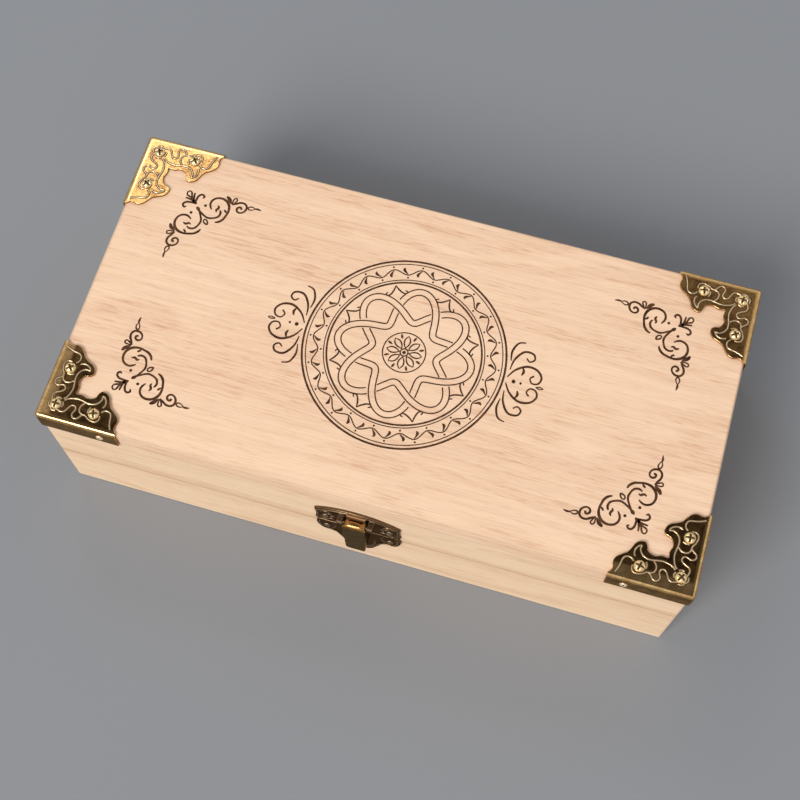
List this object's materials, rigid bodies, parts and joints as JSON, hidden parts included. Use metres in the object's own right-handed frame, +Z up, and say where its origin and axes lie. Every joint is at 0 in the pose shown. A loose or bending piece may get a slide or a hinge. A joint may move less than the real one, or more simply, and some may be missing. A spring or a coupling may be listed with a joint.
{
  "type": "playing card box",
  "caption": "Shallow wooden box for playing cards, with a hinged lid, ornate brass corner guards and a hanging clasp on the front.",
  "frame": {"origin": "middle of the underside, on the plane the box stands on", "axes": "+X along the front from left to right, +Y from the clasp on the front to the hinges on the back, +Z up; the lid is closed"},
  "size_m": [0.2028, 0.1079, 0.0571],
  "materials": {
    "wood_frame": "bare pale softwood, sanded",
    "wood_top": "bare pale softwood, sanded, with burned ornament",
    "wood_bottom": "bare plywood",
    "guard_brass": "antique brass, darkened in the hollows and polished on the edges",
    "clasp_brass": "dark antique brass",
    "tongue_brass": "dark antique brass, polished at the barrel",
    "hinge_brass": "antique brass",
    "nail_brass": "polished brass",
    "pin_steel": "plain wire"
  },
  "bodies": {
    "base": {"base_front_board": "wood_frame", "base_back_board": "wood_frame", "base_left_board": "wood_frame", "base_right_board": "wood_frame", "base_bottom_panel": "wood_bottom", "clasp_base_plate": "clasp_brass", "clasp_base_nails": "nail_brass", "hinge_left_base_leaf": "hinge_brass", "hinge_right_base_leaf": "hinge_brass", "hinge_left_pin": "pin_steel", "hinge_right_pin": "pin_steel", "hinge_base_nails": "nail_brass"},
    "lid": {"lid_front_board": "wood_frame", "lid_back_board": "wood_frame", "lid_left_board": "wood_frame", "lid_right_board": "wood_frame", "lid_top_panel": "wood_top", "corner_guard_front_left": "guard_brass", "corner_guard_front_right": "guard_brass", "corner_guard_back_left": "guard_brass", "corner_guard_back_right": "guard_brass", "guard_top_nails": "nail_brass", "guard_flange_nails": "nail_brass", "clasp_lid_plate": "clasp_brass", "clasp_pin": "pin_steel", "clasp_lid_nails": "nail_brass", "hinge_left_lid_leaf": "hinge_brass", "hinge_right_lid_leaf": "hinge_brass", "hinge_lid_nails": "nail_brass"},
    "tongue": {"clasp_tongue": "tongue_brass"}
  },
  "joints": [
    {"name": "lid_hinge", "type": "hinge", "parent": "base", "child": "lid", "pos_m": [0, 0.05185, 0.0315], "axis": [-1, 0, 0], "range_deg": [0, 180]},
    {"name": "clasp_tongue_pivot", "type": "hinge", "parent": "lid", "child": "tongue", "pos_m": [0, -0.0528, 0.0417], "axis": [-1, 0, 0], "range_deg": [0, 100]}
  ]
}
